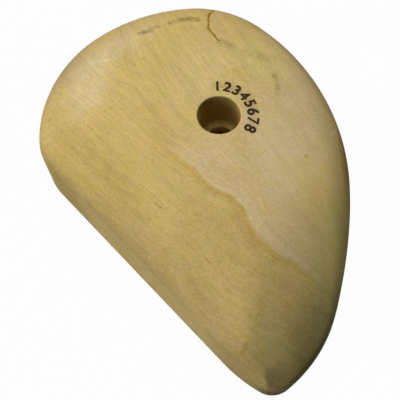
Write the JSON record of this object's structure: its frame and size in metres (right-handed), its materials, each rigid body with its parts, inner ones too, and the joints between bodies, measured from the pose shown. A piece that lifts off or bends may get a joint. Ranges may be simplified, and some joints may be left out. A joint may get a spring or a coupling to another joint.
{
  "type": "climbing hold",
  "caption": "Bolt-on wooden climbing hold: a domed, rounded teardrop block with a flat back, a bolt hole and a counterbore with a seat washer for the bolt head.",
  "frame": {"origin": "on the bolt axis, at the flat back face that lies against the climbing wall", "axes": "+Z along the bolt axis, out of the wall and out of the counterbore; +Y from the pointed tip towards the broad end; +X to the right, seen from the front"},
  "size_m": [0.131, 0.1743, 0.0464],
  "materials": {
    "wood": "sanded bare pale hardwood",
    "washer_steel": "yellow zinc plate, dull"
  },
  "bodies": {
    "root": {"wood_body": "wood", "seat_washer": "washer_steel"}
  },
  "joints": []
}
